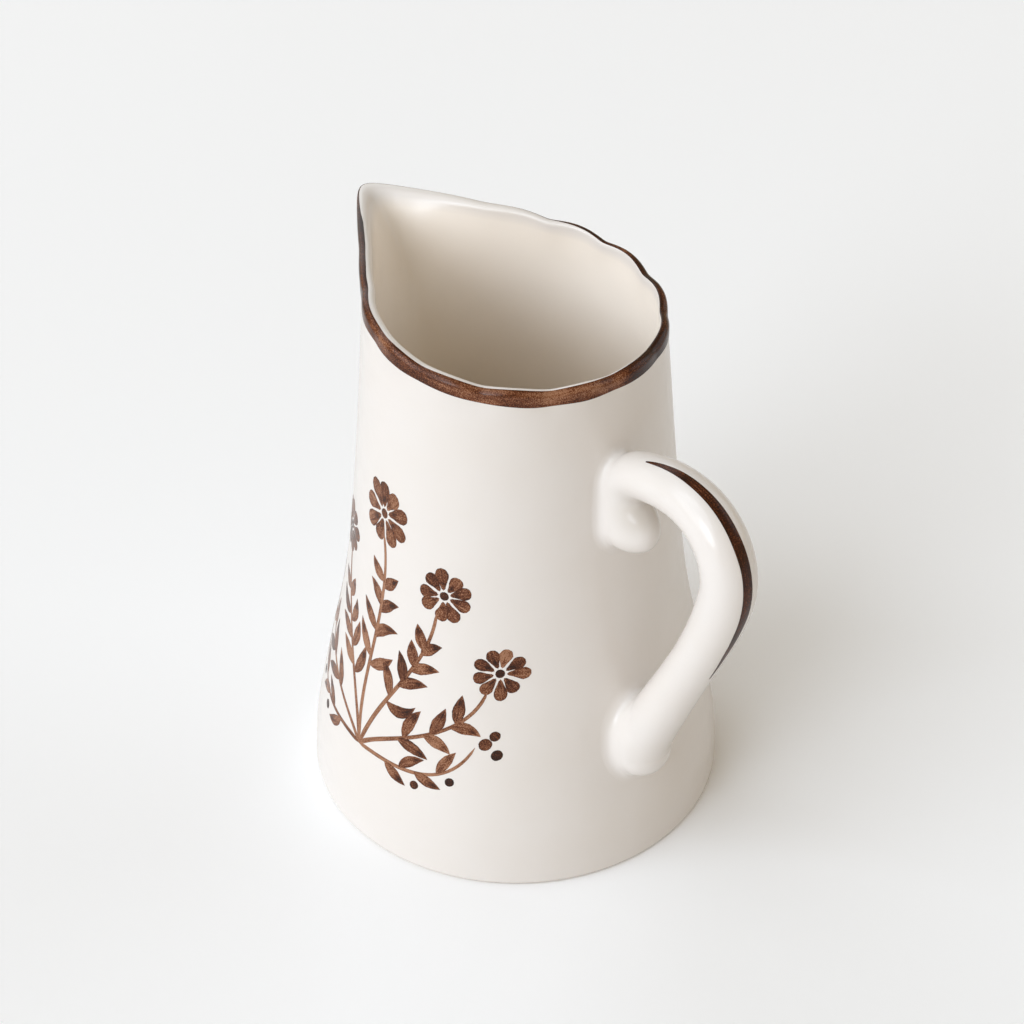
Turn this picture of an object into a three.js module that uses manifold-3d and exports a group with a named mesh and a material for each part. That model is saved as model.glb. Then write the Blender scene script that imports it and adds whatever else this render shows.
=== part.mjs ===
// A glazed ceramic pitcher: a flared conical body drawn out into a pouring lip, a scrolled rod handle
// luted on with slip, and a brown colour band and brush stroke. Millimetres, +Z up. The origin is the
// centre of the base on the table, +X points to the handle and -X to the pouring lip.
import * as THREE from "three";
import { mergeVertices } from "three/addons/utils/BufferGeometryUtils.js";
import Module from "manifold-3d";

// Body wall, as outer radii at heights above the table
const FOOT_RADIUS = 72.4;
const HEEL_HEIGHT = 18;
const HEEL_RADIUS = 70.8;
const HIP_HEIGHT = 45;
const HIP_RADIUS = 65.2;
const WAIST_HEIGHT = 80;
const WAIST_RADIUS = 57.7;
const SHOULDER_HEIGHT = 125;
const SHOULDER_RADIUS = 52.2;
const RIM_HEIGHT = 177.5;
const RIM_RADIUS = 46.7;
const WALL_THICKNESS = 4.8;
const LIP_THICKNESS = 4.2;
const LIP_CROWN = 1.8;
const FLOOR_THICKNESS = 6;
const FLOOR_CORNER = 8;

// Foot: a ring that stands on the table round a shallow recess
const FOOT_RING_WIDTH = 7;
const FOOT_RECESS = 1.2;
const FOOT_EDGE = 1.4;

// Pouring lip, drawn out of the rim opposite the handle
const LIP_OVERHANG = 37;
const LIP_RISE = 12.8;
const LIP_ROOT_HEIGHT = 112;
const LIP_RISE_LATENESS = 1.3;
const LIP_POINT_SOFTNESS = 0.05;
const LIP_SIDE_SOFTNESS = 0.125;

// Scalloped rim, smooth again at the pouring lip
const SCALLOP_COUNT = 14;
const SCALLOP_HEIGHT = 1.2;
const SCALLOP_FLARE = 0.9;
const SCALLOP_FADE = 10;
const SCALLOP_SOFTNESS = 0.25;
const SCALLOP_REACH = 8;

// Handle: the path of its rod runs from the scroll's tip over the crown and round the bow to the tail.
// Each of the four places has a height, a stand-off from the wall, and the direction the rod takes there.
const CROWN_BELOW_RIM = 26.1;
const CROWN_STANDOFF = 14.6;
const CROWN_CLIMB_DEGREES = 16.3;
const SCROLL_DROP = 22.6;
const SCROLL_TIP_STANDOFF = 6.2;
const SCROLL_TIP_CLIMB_DEGREES = 15.2;
const BOW_DROP = 18.5;
const BOW_STANDOFF = 48.2;
const TAIL_HEIGHT = 45;
const TAIL_STANDOFF = 1.9;
const TAIL_FALL_DEGREES = 72;

// Handle: how far the path holds those directions, on the scroll, the bow and the shank in turn
const SCROLL_TIP_HOLD = 5.7;
const SCROLL_CROWN_HOLD = 15.5;
const BOW_CROWN_HOLD = 29;
const BOW_SIDE_HOLD = 9;
const SHANK_BOW_HOLD = 21.6;
const SHANK_TAIL_HOLD = 7.7;

// Handle: rod radii along that path
const SCROLL_ROD_RADIUS = 7;
const BOW_ROD_RADIUS = 8.6;
const SHANK_ROD_RADIUS = 7.6;
const TAIL_ROD_RADIUS = 9;
const SLIMMEST_SHARE_OF_SHANK = 0.4;

// Handle: the web of clay that fills the scroll's eye, all but a dimple on each side
const EYE_DROP = 11.4;
const EYE_STANDOFF = 10.9;
const EYE_HALF_WIDTH = 5;
const EYE_HALF_THICKNESS = 4.5;
const EYE_HALF_HEIGHT = 9;

// Beads of slip that lute the handle to the wall
const UPPER_BEAD_DROP = 14;
const UPPER_BEAD_HALF_HEIGHT = 15;
const LOWER_BEAD_LIFT = 3;
const LOWER_BEAD_HALF_HEIGHT = 16;
const BEAD_SPREAD = 3.5;
const BEAD_PROUD = 4.6;

// Brown colour layers, let into the clay
const BAND_HEIGHT = 2;
const BAND_WRAP_DEGREES = 80;
const STROKE_WIDTH = 3.7;
const STROKE_POINT_WIDTH = 0.7;
const STROKE_FULLNESS_LATENESS = 0.8;
const STROKE_OFFSET_DEGREES = 3;
const STROKE_TURN_DEGREES = 19;
const STROKE_TURN_HASTE = 5;
const COLOUR_DEPTH = 0.5;

// Clearance between pieces that meet
const SEAT_GAP = 0.3;

// Fineness of the facets
const SIDES_PER_SCALLOP = 6;
const WALL_STEPS = 12;
const LIP_STEPS = 4;
const BAND_STEPS = 3;
const CORNER_STEPS = 3;
const ROD_SIDES = 20;
const ROD_STEPS = 52;
const ROD_END_STEPS = 4;
const STROKE_STEPS = 26;
const STROKE_ACROSS = 4;
const EYE_SIDES = 20;
const BEAD_SIDES = 24;
const MERGE_DISTANCE = 1e-4;

const wasm = await Module();
wasm.setup();

const smoothstep = THREE.MathUtils.smoothstep;
const lerp = THREE.MathUtils.lerp;

// Outer radius of the turned wall: a smooth curve through the stations above
const STATIONS = [
  [0, FOOT_RADIUS],
  [HEEL_HEIGHT, HEEL_RADIUS],
  [HIP_HEIGHT, HIP_RADIUS],
  [WAIST_HEIGHT, WAIST_RADIUS],
  [SHOULDER_HEIGHT, SHOULDER_RADIUS],
  [RIM_HEIGHT, RIM_RADIUS],
];

function stationSlope(k) {
  const below = STATIONS[Math.max(k - 1, 0)];
  const above = STATIONS[Math.min(k + 1, STATIONS.length - 1)];
  return (above[1] - below[1]) / (above[0] - below[0]);
}

function wallRadius(height) {
  let k = 0;
  while (k < STATIONS.length - 2 && height > STATIONS[k + 1][0]) k++;
  const [lowHeight, lowRadius] = STATIONS[k];
  const [highHeight, highRadius] = STATIONS[k + 1];
  const span = highHeight - lowHeight;
  const t = (height - lowHeight) / span;
  const lowPart = lowRadius * (1 + 2 * t) * (1 - t) ** 2 + stationSlope(k) * span * t * (1 - t) ** 2;
  const highPart = highRadius * t * t * (3 - 2 * t) - stationSlope(k + 1) * span * t * t * (1 - t);
  return lowPart + highPart;
}

function wallThickness(height) {
  return lerp(WALL_THICKNESS, LIP_THICKNESS, height / RIM_HEIGHT);
}

// Pouring lip: its straight sides leave the rim circle as tangents and meet in a rounded point
const LIP_SIDE_ANGLE = Math.acos(RIM_RADIUS / (RIM_RADIUS + LIP_OVERHANG)) + LIP_POINT_SOFTNESS;

function lipLean(around) {
  const fromPoint = Math.hypot(Math.PI - Math.abs(around), LIP_POINT_SOFTNESS);
  const pastTangent = (LIP_SIDE_ANGLE - fromPoint) / LIP_SIDE_SOFTNESS;
  return Math.log1p(Math.exp(pastTangent)) * LIP_SIDE_SOFTNESS;
}

// Bends a turned piece in place: draws out the lip, lifts the rim towards it and presses the scallops
function drawOut(geometry) {
  const points = geometry.attributes.position;
  for (let i = 0; i < points.count; i++) {
    const x = points.getX(i);
    const y = points.getY(i);
    const z = points.getZ(i);
    const around = Math.atan2(y, x);
    const up = THREE.MathUtils.clamp((z - LIP_ROOT_HEIGHT) / (RIM_HEIGHT - LIP_ROOT_HEIGHT), 0, 1);
    const towardsLip = (1 - Math.cos(around)) / 2;
    const lobe = Math.sin((SCALLOP_COUNT / 2) * around);
    const scallop = Math.hypot(lobe, SCALLOP_SOFTNESS) - SCALLOP_SOFTNESS;
    const grown = smoothstep(z, RIM_HEIGHT - SCALLOP_FADE, RIM_HEIGHT) * (1 - towardsLip ** SCALLOP_REACH);
    const press = scallop * grown;
    const spread = (1 + (press * SCALLOP_FLARE) / RIM_RADIUS) / Math.cos(up * lipLean(around));
    const lift = up * LIP_RISE * towardsLip ** LIP_RISE_LATENESS + press * SCALLOP_HEIGHT;
    points.setXYZ(i, x * spread, y * spread, z + lift);
  }
  return geometry;
}

// Turns a profile of radius and height about the Z axis
function turned(profile) {
  const outline = profile.map(([radius, height]) => new THREE.Vector2(radius, height));
  const lathe = new THREE.LatheGeometry(outline, SCALLOP_COUNT * SIDES_PER_SCALLOP);
  return drawOut(lathe.rotateX(Math.PI / 2));
}

// Closed skin through a row of closed rings of points, with a fan over each end
function loft(rings) {
  const size = rings[0].length;
  const count = rings.length;
  const points = rings.flat().flatMap((p) => p.toArray());
  const faces = [];
  for (let row = 0; row < count - 1; row++) {
    for (let k = 0; k < size; k++) {
      const a = row * size + k;
      const b = row * size + ((k + 1) % size);
      faces.push(a, b, a + size, b, b + size, a + size);
    }
  }
  for (const [row, turn] of [[0, 1], [count - 1, 0]]) {
    const middle = new THREE.Vector3();
    rings[row].forEach((p) => middle.addScaledVector(p, 1 / size));
    const hub = points.length / 3;
    points.push(...middle.toArray());
    for (let k = 0; k < size; k++) {
      const a = row * size + ((k + turn) % size);
      const b = row * size + ((k + 1 - turn) % size);
      faces.push(hub, a, b);
    }
  }
  const skin = new THREE.BufferGeometry();
  skin.setAttribute("position", new THREE.Float32BufferAttribute(points, 3));
  skin.setIndex(faces);
  return skin;
}

function toSolid(geometry) {
  const bare = geometry.clone();
  bare.deleteAttribute("normal");
  bare.deleteAttribute("uv");
  const merged = mergeVertices(bare, MERGE_DISTANCE);
  const corners = merged.index.array;
  const kept = [];
  for (let i = 0; i < corners.length; i += 3) {
    const [a, b, c] = corners.slice(i, i + 3);
    if (a !== b && b !== c && c !== a) kept.push(a, b, c);
  }
  const vertProperties = new Float32Array(merged.attributes.position.array);
  return new wasm.Manifold(new wasm.Mesh({ numProp: 3, vertProperties, triVerts: new Uint32Array(kept) }));
}

function toGeometry(solid) {
  const mesh = solid.getMesh();
  const geometry = new THREE.BufferGeometry();
  geometry.setAttribute("position", new THREE.BufferAttribute(mesh.vertProperties, 3));
  geometry.setIndex(new THREE.BufferAttribute(mesh.triVerts, 1));
  return geometry;
}

// Rounded lip: half an ellipse from the outer wall over the crown to the inner wall
const LIP_FOOT = RIM_HEIGHT - LIP_CROWN;
const LIP_HALF = LIP_THICKNESS / 2;
const BAND_BOTTOM = LIP_FOOT - BAND_HEIGHT;
const BAND_WRAP = THREE.MathUtils.degToRad(BAND_WRAP_DEGREES);

function lipPoint(turn, inset) {
  const middle = wallRadius(LIP_FOOT) - LIP_HALF;
  return [middle + (LIP_HALF - inset) * Math.cos(turn), LIP_FOOT + (LIP_CROWN - inset) * Math.sin(turn)];
}

// Section of the band's place, up the wall from a height and over the lip to a turn, at a depth
function bandPath(bottom, wrap, inset) {
  const path = [[wallRadius(bottom) - inset, bottom]];
  for (let k = 0; k <= BAND_STEPS; k++) {
    path.push(lipPoint((wrap * k) / BAND_STEPS, inset));
  }
  return path;
}

// Body: one turned profile with the foot ring, outer wall, rebate for the colour band, rounded lip,
// inner wall and floor

function innerRadius(height) {
  return wallRadius(height) - wallThickness(height);
}

function bodyGeometry() {
  const floor = FOOT_RECESS + FLOOR_THICKNESS;
  const ringInside = FOOT_RADIUS - FOOT_RING_WIDTH;
  const rebateBottom = BAND_BOTTOM - SEAT_GAP;
  const rebateWrap = BAND_WRAP + SEAT_GAP / LIP_HALF;
  const profile = [
    [0, FOOT_RECESS],
    [ringInside - FOOT_RECESS, FOOT_RECESS],
    [ringInside, 0],
    [FOOT_RADIUS - FOOT_EDGE, 0],
  ];
  for (let k = 0; k <= WALL_STEPS; k++) {
    const height = lerp(FOOT_EDGE, rebateBottom, k / WALL_STEPS);
    profile.push([wallRadius(height), height]);
  }
  profile.push(...bandPath(rebateBottom, rebateWrap, COLOUR_DEPTH + SEAT_GAP));
  for (let k = 0; k <= LIP_STEPS; k++) {
    profile.push(lipPoint(lerp(rebateWrap, Math.PI, k / LIP_STEPS), 0));
  }
  for (let k = 1; k <= WALL_STEPS; k++) {
    const height = lerp(LIP_FOOT, floor + FLOOR_CORNER, k / WALL_STEPS);
    profile.push([innerRadius(height), height]);
  }
  const cornerRadius = innerRadius(floor + FLOOR_CORNER);
  for (let k = 1; k <= CORNER_STEPS; k++) {
    const turn = (Math.PI / 2) * (k / CORNER_STEPS);
    const inward = FLOOR_CORNER * (1 - Math.cos(turn));
    profile.push([cornerRadius - inward, floor + FLOOR_CORNER * (1 - Math.sin(turn))]);
  }
  profile.push([0, floor]);
  return turned(profile);
}

// The body's outer form as a plain solid, grown outwards, for cutting what sits against the wall
function bodyEnvelope(grow) {
  const profile = [[0, 0]];
  for (let k = 0; k <= 2 * WALL_STEPS; k++) {
    const height = (LIP_FOOT * k) / (2 * WALL_STEPS);
    profile.push([wallRadius(height) + grow, height]);
  }
  profile.push([0, LIP_FOOT]);
  return toSolid(turned(profile));
}

// Colour band round the rim, lying in the body's rebate
function bandGeometry() {
  const outside = bandPath(BAND_BOTTOM, BAND_WRAP, 0);
  const inside = bandPath(BAND_BOTTOM, BAND_WRAP, COLOUR_DEPTH);
  return turned([...outside, ...inside.reverse(), outside[0]]);
}

// Path of the handle's rod in the plane y = 0, as three curves that run on smoothly from one to the next
const CROWN_HEIGHT = RIM_HEIGHT - CROWN_BELOW_RIM;

function offWall(standoff, height) {
  return new THREE.Vector3(wallRadius(height) + standoff, 0, height);
}

function heading(degrees) {
  const turn = THREE.MathUtils.degToRad(degrees);
  return new THREE.Vector3(Math.cos(turn), 0, Math.sin(turn));
}

function handlePath() {
  const tip = offWall(SCROLL_TIP_STANDOFF, CROWN_HEIGHT - SCROLL_DROP);
  const crown = offWall(CROWN_STANDOFF, CROWN_HEIGHT);
  const bow = offWall(BOW_STANDOFF, CROWN_HEIGHT - BOW_DROP);
  const tail = offWall(TAIL_STANDOFF, TAIL_HEIGHT);
  const atTip = heading(180 - SCROLL_TIP_CLIMB_DEGREES);
  const atCrown = heading(CROWN_CLIMB_DEGREES);
  const atBow = heading(-90);
  const atTail = heading(-TAIL_FALL_DEGREES);
  const held = (point, direction, length) => point.clone().addScaledVector(direction, length);
  const afterTip = held(tip, atTip, SCROLL_TIP_HOLD);
  const beforeCrown = held(crown, atCrown, -SCROLL_CROWN_HOLD);
  const afterCrown = held(crown, atCrown, BOW_CROWN_HOLD);
  const beforeBow = held(bow, atBow, -BOW_SIDE_HOLD);
  const afterBow = held(bow, atBow, SHANK_BOW_HOLD);
  const beforeTail = held(tail, atTail, -SHANK_TAIL_HOLD);
  const path = new THREE.CurvePath();
  path.add(new THREE.CubicBezierCurve3(tip, afterTip, beforeCrown, crown));
  path.add(new THREE.CubicBezierCurve3(crown, afterCrown, beforeBow, bow));
  path.add(new THREE.CubicBezierCurve3(bow, afterBow, beforeTail, tail));
  return path;
}

const ROD_PATH = handlePath();
const [SCROLL_LENGTH, BOW_LENGTH, ROD_LENGTH] = ROD_PATH.getCurveLengths();
const CROWN_AT = SCROLL_LENGTH / ROD_LENGTH;
const BOW_AT = BOW_LENGTH / ROD_LENGTH;
const SHANK_AT = lerp(BOW_AT, 1, SLIMMEST_SHARE_OF_SHANK);

function rodRadius(u) {
  const swell = lerp(SCROLL_ROD_RADIUS, BOW_ROD_RADIUS, smoothstep(u, 0, BOW_AT));
  const slim = lerp(swell, SHANK_ROD_RADIUS, smoothstep(u, BOW_AT, SHANK_AT));
  return lerp(slim, TAIL_ROD_RADIUS, smoothstep(u, SHANK_AT, 1));
}

// The rod's own directions at a share u of its path
function rodFrame(u) {
  const centre = ROD_PATH.getPointAt(u);
  const forward = ROD_PATH.getTangentAt(u);
  const side = new THREE.Vector3(0, -1, 0);
  const back = new THREE.Vector3().crossVectors(side, forward);
  return { centre, forward, side, back };
}

// A point by its angle from the rod's outer back and its distance from the centre line
function rodPoint(frame, angle, distance) {
  return frame.centre
    .clone()
    .addScaledVector(frame.back, Math.cos(angle) * distance)
    .addScaledVector(frame.side, Math.sin(angle) * distance);
}

function rodRing(frame, radius) {
  const ring = [];
  for (let k = 0; k < ROD_SIDES; k++) {
    ring.push(rodPoint(frame, (2 * Math.PI * k) / ROD_SIDES, radius));
  }
  return ring;
}

// The whole rod with rounded ends, grown outwards by the given amount
function rodGeometry(grow) {
  const rings = [];
  const addEnd = (u, outward, k) => {
    const frame = rodFrame(u);
    const radius = rodRadius(u) + grow;
    const rise = (Math.PI / 2) * (k / (ROD_END_STEPS + 1));
    frame.centre.addScaledVector(frame.forward, outward * radius * Math.sin(rise));
    rings.push(rodRing(frame, radius * Math.cos(rise)));
  };
  for (let k = ROD_END_STEPS; k > 0; k--) addEnd(0, -1, k);
  for (let k = 0; k <= ROD_STEPS; k++) {
    const u = k / ROD_STEPS;
    rings.push(rodRing(rodFrame(u), rodRadius(u) + grow));
  }
  for (let k = 1; k <= ROD_END_STEPS; k++) addEnd(1, 1, k);
  return loft(rings);
}

function eyeGeometry(grow) {
  const eye = new THREE.SphereGeometry(1, EYE_SIDES, EYE_SIDES / 2);
  eye.scale(EYE_HALF_WIDTH + grow, EYE_HALF_THICKNESS + grow, EYE_HALF_HEIGHT + grow);
  const middle = offWall(EYE_STANDOFF, CROWN_HEIGHT - EYE_DROP);
  return eye.translate(middle.x, middle.y, middle.z);
}

// The rod and the filled eye of its scroll in one, grown outwards by the given amount
function scrolledRod(grow) {
  return toSolid(rodGeometry(grow)).add(toSolid(eyeGeometry(grow)));
}

// Brush stroke down the rod's outer back, from the crown past the bow, pointed at both ends
function strokeGeometry(margin, depth, lift) {
  const rings = [];
  const overrun = margin / ROD_LENGTH;
  for (let k = 0; k <= STROKE_STEPS; k++) {
    const share = k / STROKE_STEPS;
    const u = lerp(CROWN_AT - overrun, SHANK_AT + overrun, share);
    const radius = rodRadius(u);
    const fullness = Math.sin(Math.PI * share ** STROKE_FULLNESS_LATENESS);
    const halfWidth = lerp(STROKE_POINT_WIDTH, STROKE_WIDTH, fullness) / 2 + margin;
    const frame = rodFrame(u);
    const offBack = STROKE_OFFSET_DEGREES + STROKE_TURN_DEGREES * (1 - share) ** STROKE_TURN_HASTE;
    const middle = THREE.MathUtils.degToRad(offBack);
    const top = [];
    const bottom = [];
    for (let j = 0; j <= STROKE_ACROSS; j++) {
      const angle = middle + (halfWidth / radius) * ((2 * j) / STROKE_ACROSS - 1);
      top.push(rodPoint(frame, angle, radius + lift));
      bottom.unshift(rodPoint(frame, angle, radius - depth));
    }
    rings.push([...top, ...bottom]);
  }
  return loft(rings);
}

// Bead of slip squeezed out round a joint: a low dome on the wall, less the wall and the rod
function beadSolid(height, halfHeight, rodHalfWidth) {
  const narrowing = wallRadius(height + halfHeight) - wallRadius(height - halfHeight);
  const lean = Math.atan(narrowing / (2 * halfHeight));
  const dome = new THREE.SphereGeometry(1, BEAD_SIDES, BEAD_SIDES / 2);
  dome.scale(BEAD_PROUD, rodHalfWidth + BEAD_SPREAD, halfHeight);
  dome.rotateY(lean);
  dome.translate(wallRadius(height), 0, height);
  return toSolid(dome).subtract(bodyEnvelope(SEAT_GAP)).subtract(scrolledRod(SEAT_GAP));
}

const GLAZE = { color: 0xf3eee7, roughness: 0.16, metalness: 0 };
const BROWN = { color: 0x5a3323, roughness: 0.3, metalness: 0 };

const pitcher = new THREE.Group();

function addPiece(name, geometry, finish) {
  const piece = new THREE.Mesh(geometry, new THREE.MeshStandardMaterial(finish));
  piece.name = name;
  pitcher.add(piece);
}

const handleSolid = scrolledRod(0)
  .subtract(bodyEnvelope(SEAT_GAP))
  .subtract(toSolid(strokeGeometry(SEAT_GAP, COLOUR_DEPTH + SEAT_GAP, COLOUR_DEPTH)));

const upperBead = beadSolid(CROWN_HEIGHT - UPPER_BEAD_DROP, UPPER_BEAD_HALF_HEIGHT, SCROLL_ROD_RADIUS);
const lowerBead = beadSolid(TAIL_HEIGHT + LOWER_BEAD_LIFT, LOWER_BEAD_HALF_HEIGHT, TAIL_ROD_RADIUS);

addPiece("jug_body", bodyGeometry(), GLAZE);
addPiece("handle", toGeometry(handleSolid), GLAZE);
addPiece("upper_slip_bead", toGeometry(upperBead), GLAZE);
addPiece("lower_slip_bead", toGeometry(lowerBead), GLAZE);
addPiece("rim_band", bandGeometry(), BROWN);
addPiece("handle_stroke", strokeGeometry(0, COLOUR_DEPTH, 0), BROWN);

export default pitcher;
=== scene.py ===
"""A hand-painted ceramic pitcher on a pale studio floor. Lengths are in millimetres for the meshes
and in metres for the materials and the studio."""
import bpy
import numpy as np
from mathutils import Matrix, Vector


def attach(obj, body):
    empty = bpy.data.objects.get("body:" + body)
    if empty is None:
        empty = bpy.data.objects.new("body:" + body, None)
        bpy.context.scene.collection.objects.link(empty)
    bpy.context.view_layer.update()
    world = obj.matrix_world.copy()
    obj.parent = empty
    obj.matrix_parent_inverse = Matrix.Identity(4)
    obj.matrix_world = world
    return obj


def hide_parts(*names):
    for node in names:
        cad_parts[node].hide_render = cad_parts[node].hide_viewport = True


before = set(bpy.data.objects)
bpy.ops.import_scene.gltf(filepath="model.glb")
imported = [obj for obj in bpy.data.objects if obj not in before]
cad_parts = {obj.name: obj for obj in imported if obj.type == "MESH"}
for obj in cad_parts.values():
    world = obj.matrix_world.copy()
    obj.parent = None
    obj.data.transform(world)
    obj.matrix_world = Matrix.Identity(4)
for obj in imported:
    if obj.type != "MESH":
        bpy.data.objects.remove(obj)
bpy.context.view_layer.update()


# Jug body: slip-cast earthenware under a glossy cream glaze, one shell from the foot ring to the
# rim. The mould gives the flared cone. While the clay is soft the rim is pressed into scallops and
# drawn out into the pouring lip. The foot ring's underside is wiped bare of glaze before firing.
STATION_HEIGHTS = np.array([0, 18, 45, 80, 125, 177.5])
STATION_RADII = np.array([72.4, 70.8, 65.2, 57.7, 52.2, 46.7])
RIM_HEIGHT, RIM_RADIUS = STATION_HEIGHTS[-1], STATION_RADII[-1]
WALL_THICKNESS, LIP_THICKNESS, LIP_CROWN = 4.8, 4.2, 1.8
LIP_FOOT = RIM_HEIGHT - LIP_CROWN
LIP_OVERHANG, LIP_RISE, LIP_ROOT_HEIGHT, LIP_RISE_LATENESS = 36.8, 12.75, 112, 1.3
LIP_POINT_SOFTNESS, LIP_SIDE_SOFTNESS = 0.05, 0.125
SCALLOP_COUNT, SCALLOP_HEIGHT, SCALLOP_FLARE = 14, 1.2, 0.9
SCALLOP_FADE, SCALLOP_SOFTNESS, SCALLOP_REACH = 10, 0.25, 8
LIP_INNER_SQUARENESS = 2.8
LIP_THINNING, LIP_THINNING_DEPTH, LIP_THINNEST = 1.5, 25, np.radians(60)
FOOT_RECESS, FOOT_RING_WIDTH, FOOT_EDGE = 1.2, 7, 1.4
FLOOR_HEIGHT, FLOOR_CORNER = 7.2, 8
SIDES = SCALLOP_COUNT * 24
UNDER_ROWS, RECESS_ROWS, RING_ROWS, EDGE_ROWS, FLOOR_ROWS = 12, 8, 5, 10, 10
OUTER_ROWS, LIP_ROWS, INNER_ROWS = 112, 44, 72
POLE_REACH, RING_FLAT_START, RING_FLAT_END, FLOOR_FLAT_START = 4, 0.6, 0.4, 3
MILLIMETRE = 0.001


def smoothstep(value, low, high):
    """0 below low and 1 above high, with a cubic that is level at both ends between them."""
    t = np.clip((value - low) / (high - low), 0, 1)
    return t * t * (3 - 2 * t)


def wall_radius(height):
    """Outer radius at a height: between stations a cubic whose slope at each station is that of the
    line through its two neighbours."""
    last = len(STATION_HEIGHTS) - 1
    below = np.maximum(np.arange(last + 1) - 1, 0)
    above = np.minimum(np.arange(last + 1) + 1, last)
    climb = STATION_HEIGHTS[above] - STATION_HEIGHTS[below]
    slope = (STATION_RADII[above] - STATION_RADII[below]) / climb
    k = np.clip(np.searchsorted(STATION_HEIGHTS, height) - 1, 0, last - 1)
    span = STATION_HEIGHTS[k + 1] - STATION_HEIGHTS[k]
    t = (height - STATION_HEIGHTS[k]) / span
    low = STATION_RADII[k] * (1 + 2 * t) + slope[k] * span * t
    high = STATION_RADII[k + 1] * (3 - 2 * t) - slope[k + 1] * span * (1 - t)
    return low * (1 - t) ** 2 + high * t ** 2


def scallop_press(height, around):
    """How far the scallops are pressed, from 0 to about 0.8: rounded half sines that grow over the
    last of the height and fade near the lip."""
    lobe = np.hypot(np.sin(SCALLOP_COUNT / 2 * around), SCALLOP_SOFTNESS) - SCALLOP_SOFTNESS
    grown = smoothstep(height, RIM_HEIGHT - SCALLOP_FADE, RIM_HEIGHT)
    towards_lip = (1 - np.cos(around)) / 2
    return grown * lobe * (1 - towards_lip ** SCALLOP_REACH)


def scraping(radius, height, around):
    """How far the inside is scraped back below the rim: most at one place beside the handle, easing
    to nothing across from it, downwards, and from the inner wall over to the lip's crest."""
    depth = wall_radius(np.minimum(height, LIP_FOOT)) - radius
    inward = np.clip(depth * 2 / LIP_THICKNESS - 1, 0, 1)
    grown = smoothstep(height, RIM_HEIGHT - LIP_THINNING_DEPTH, LIP_FOOT)
    beside_handle = ((1 + np.cos(around - LIP_THINNEST)) / 2) ** 2
    return LIP_THINNING * inward * grown * beside_handle


def draw_out(radius, height, around):
    """Where a point of the turned jug goes: outwards by the scraping and by one over the cosine of
    the lip's lean, which carries the rim circle onto its tangents and rounds their point; up with a
    power of the way round to the lip; and out and up by the scallops."""
    up = np.clip((height - LIP_ROOT_HEIGHT) / (RIM_HEIGHT - LIP_ROOT_HEIGHT), 0, 1)
    side_angle = np.arccos(RIM_RADIUS / (RIM_RADIUS + LIP_OVERHANG)) + LIP_POINT_SOFTNESS
    from_point = np.hypot(np.pi - np.abs(around), LIP_POINT_SOFTNESS)
    lean = np.logaddexp(0, (side_angle - from_point) / LIP_SIDE_SOFTNESS) * LIP_SIDE_SOFTNESS
    towards_lip = (1 - np.cos(around)) / 2
    press = scallop_press(height, around)
    scraped = radius + scraping(radius, height, around)
    spread = scraped * (1 + press * SCALLOP_FLARE / RIM_RADIUS) / np.cos(up * lean)
    lift = up * LIP_RISE * towards_lip ** LIP_RISE_LATENESS + press * SCALLOP_HEIGHT
    return np.stack([spread * np.cos(around), spread * np.sin(around), height + lift], axis=-1)


def lip_section(turn):
    """Radius and height on the lip: a quarter ellipse from the outer wall up to the crest, and a
    squarer quarter of a superellipse from there to the inner wall."""
    half = LIP_THICKNESS / 2
    square = np.where(np.cos(turn) < 0, 2 / LIP_INNER_SQUARENESS, 1)
    across = np.sign(np.cos(turn)) * np.abs(np.cos(turn)) ** square
    up = np.abs(np.sin(turn)) ** square
    return wall_radius(LIP_FOOT) - half + half * across, LIP_FOOT + LIP_CROWN * up


def body_section():
    """Radius and height from the middle of the underside out over the foot ring, up the outer wall,
    over the lip, down the inner wall and across the floor."""
    ring_inside = STATION_RADII[0] - FOOT_RING_WIDTH
    recess_end = ring_inside - FOOT_RECESS
    recess = FOOT_RECESS * (1 + np.cos(np.linspace(0, np.pi, RECESS_ROWS)[1:])) / 2
    turn = np.linspace(0, np.pi / 2, EDGE_ROWS)
    outer = np.linspace(FOOT_EDGE, LIP_FOOT, OUTER_ROWS)[1:-1]
    inner = np.linspace(LIP_FOOT, FLOOR_HEIGHT + FLOOR_CORNER, INNER_ROWS)[1:]
    thickness = WALL_THICKNESS + (LIP_THICKNESS - WALL_THICKNESS) * inner / RIM_HEIGHT
    inner_radius = wall_radius(inner) - thickness
    floor_edge = inner_radius[-1] - FLOOR_CORNER
    floor_flat = np.linspace(floor_edge - FLOOR_FLAT_START, POLE_REACH, FLOOR_ROWS)
    corner_out, corner_up = np.cos(turn[1:]), 1 - np.sin(turn[1:])
    edge = wall_radius(FOOT_EDGE) - FOOT_EDGE
    ring_flat = np.linspace(ring_inside + RING_FLAT_START, edge - RING_FLAT_END, RING_ROWS)
    parts = [
        (np.linspace(POLE_REACH, recess_end, UNDER_ROWS), np.full(UNDER_ROWS, FOOT_RECESS)),
        (ring_inside - recess, recess),
        (ring_flat, np.zeros(RING_ROWS)),
        (edge + FOOT_EDGE * np.sin(turn), FOOT_EDGE * (1 - np.cos(turn))),
        (wall_radius(outer), outer),
        lip_section(np.linspace(0, np.pi, LIP_ROWS)),
        (inner_radius, inner),
        (floor_edge + FLOOR_CORNER * corner_out, FLOOR_HEIGHT + FLOOR_CORNER * corner_up),
        (floor_flat, np.full(FLOOR_ROWS, FLOOR_HEIGHT)),
    ]
    return np.concatenate([p[0] for p in parts]), np.concatenate([p[1] for p in parts])


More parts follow.
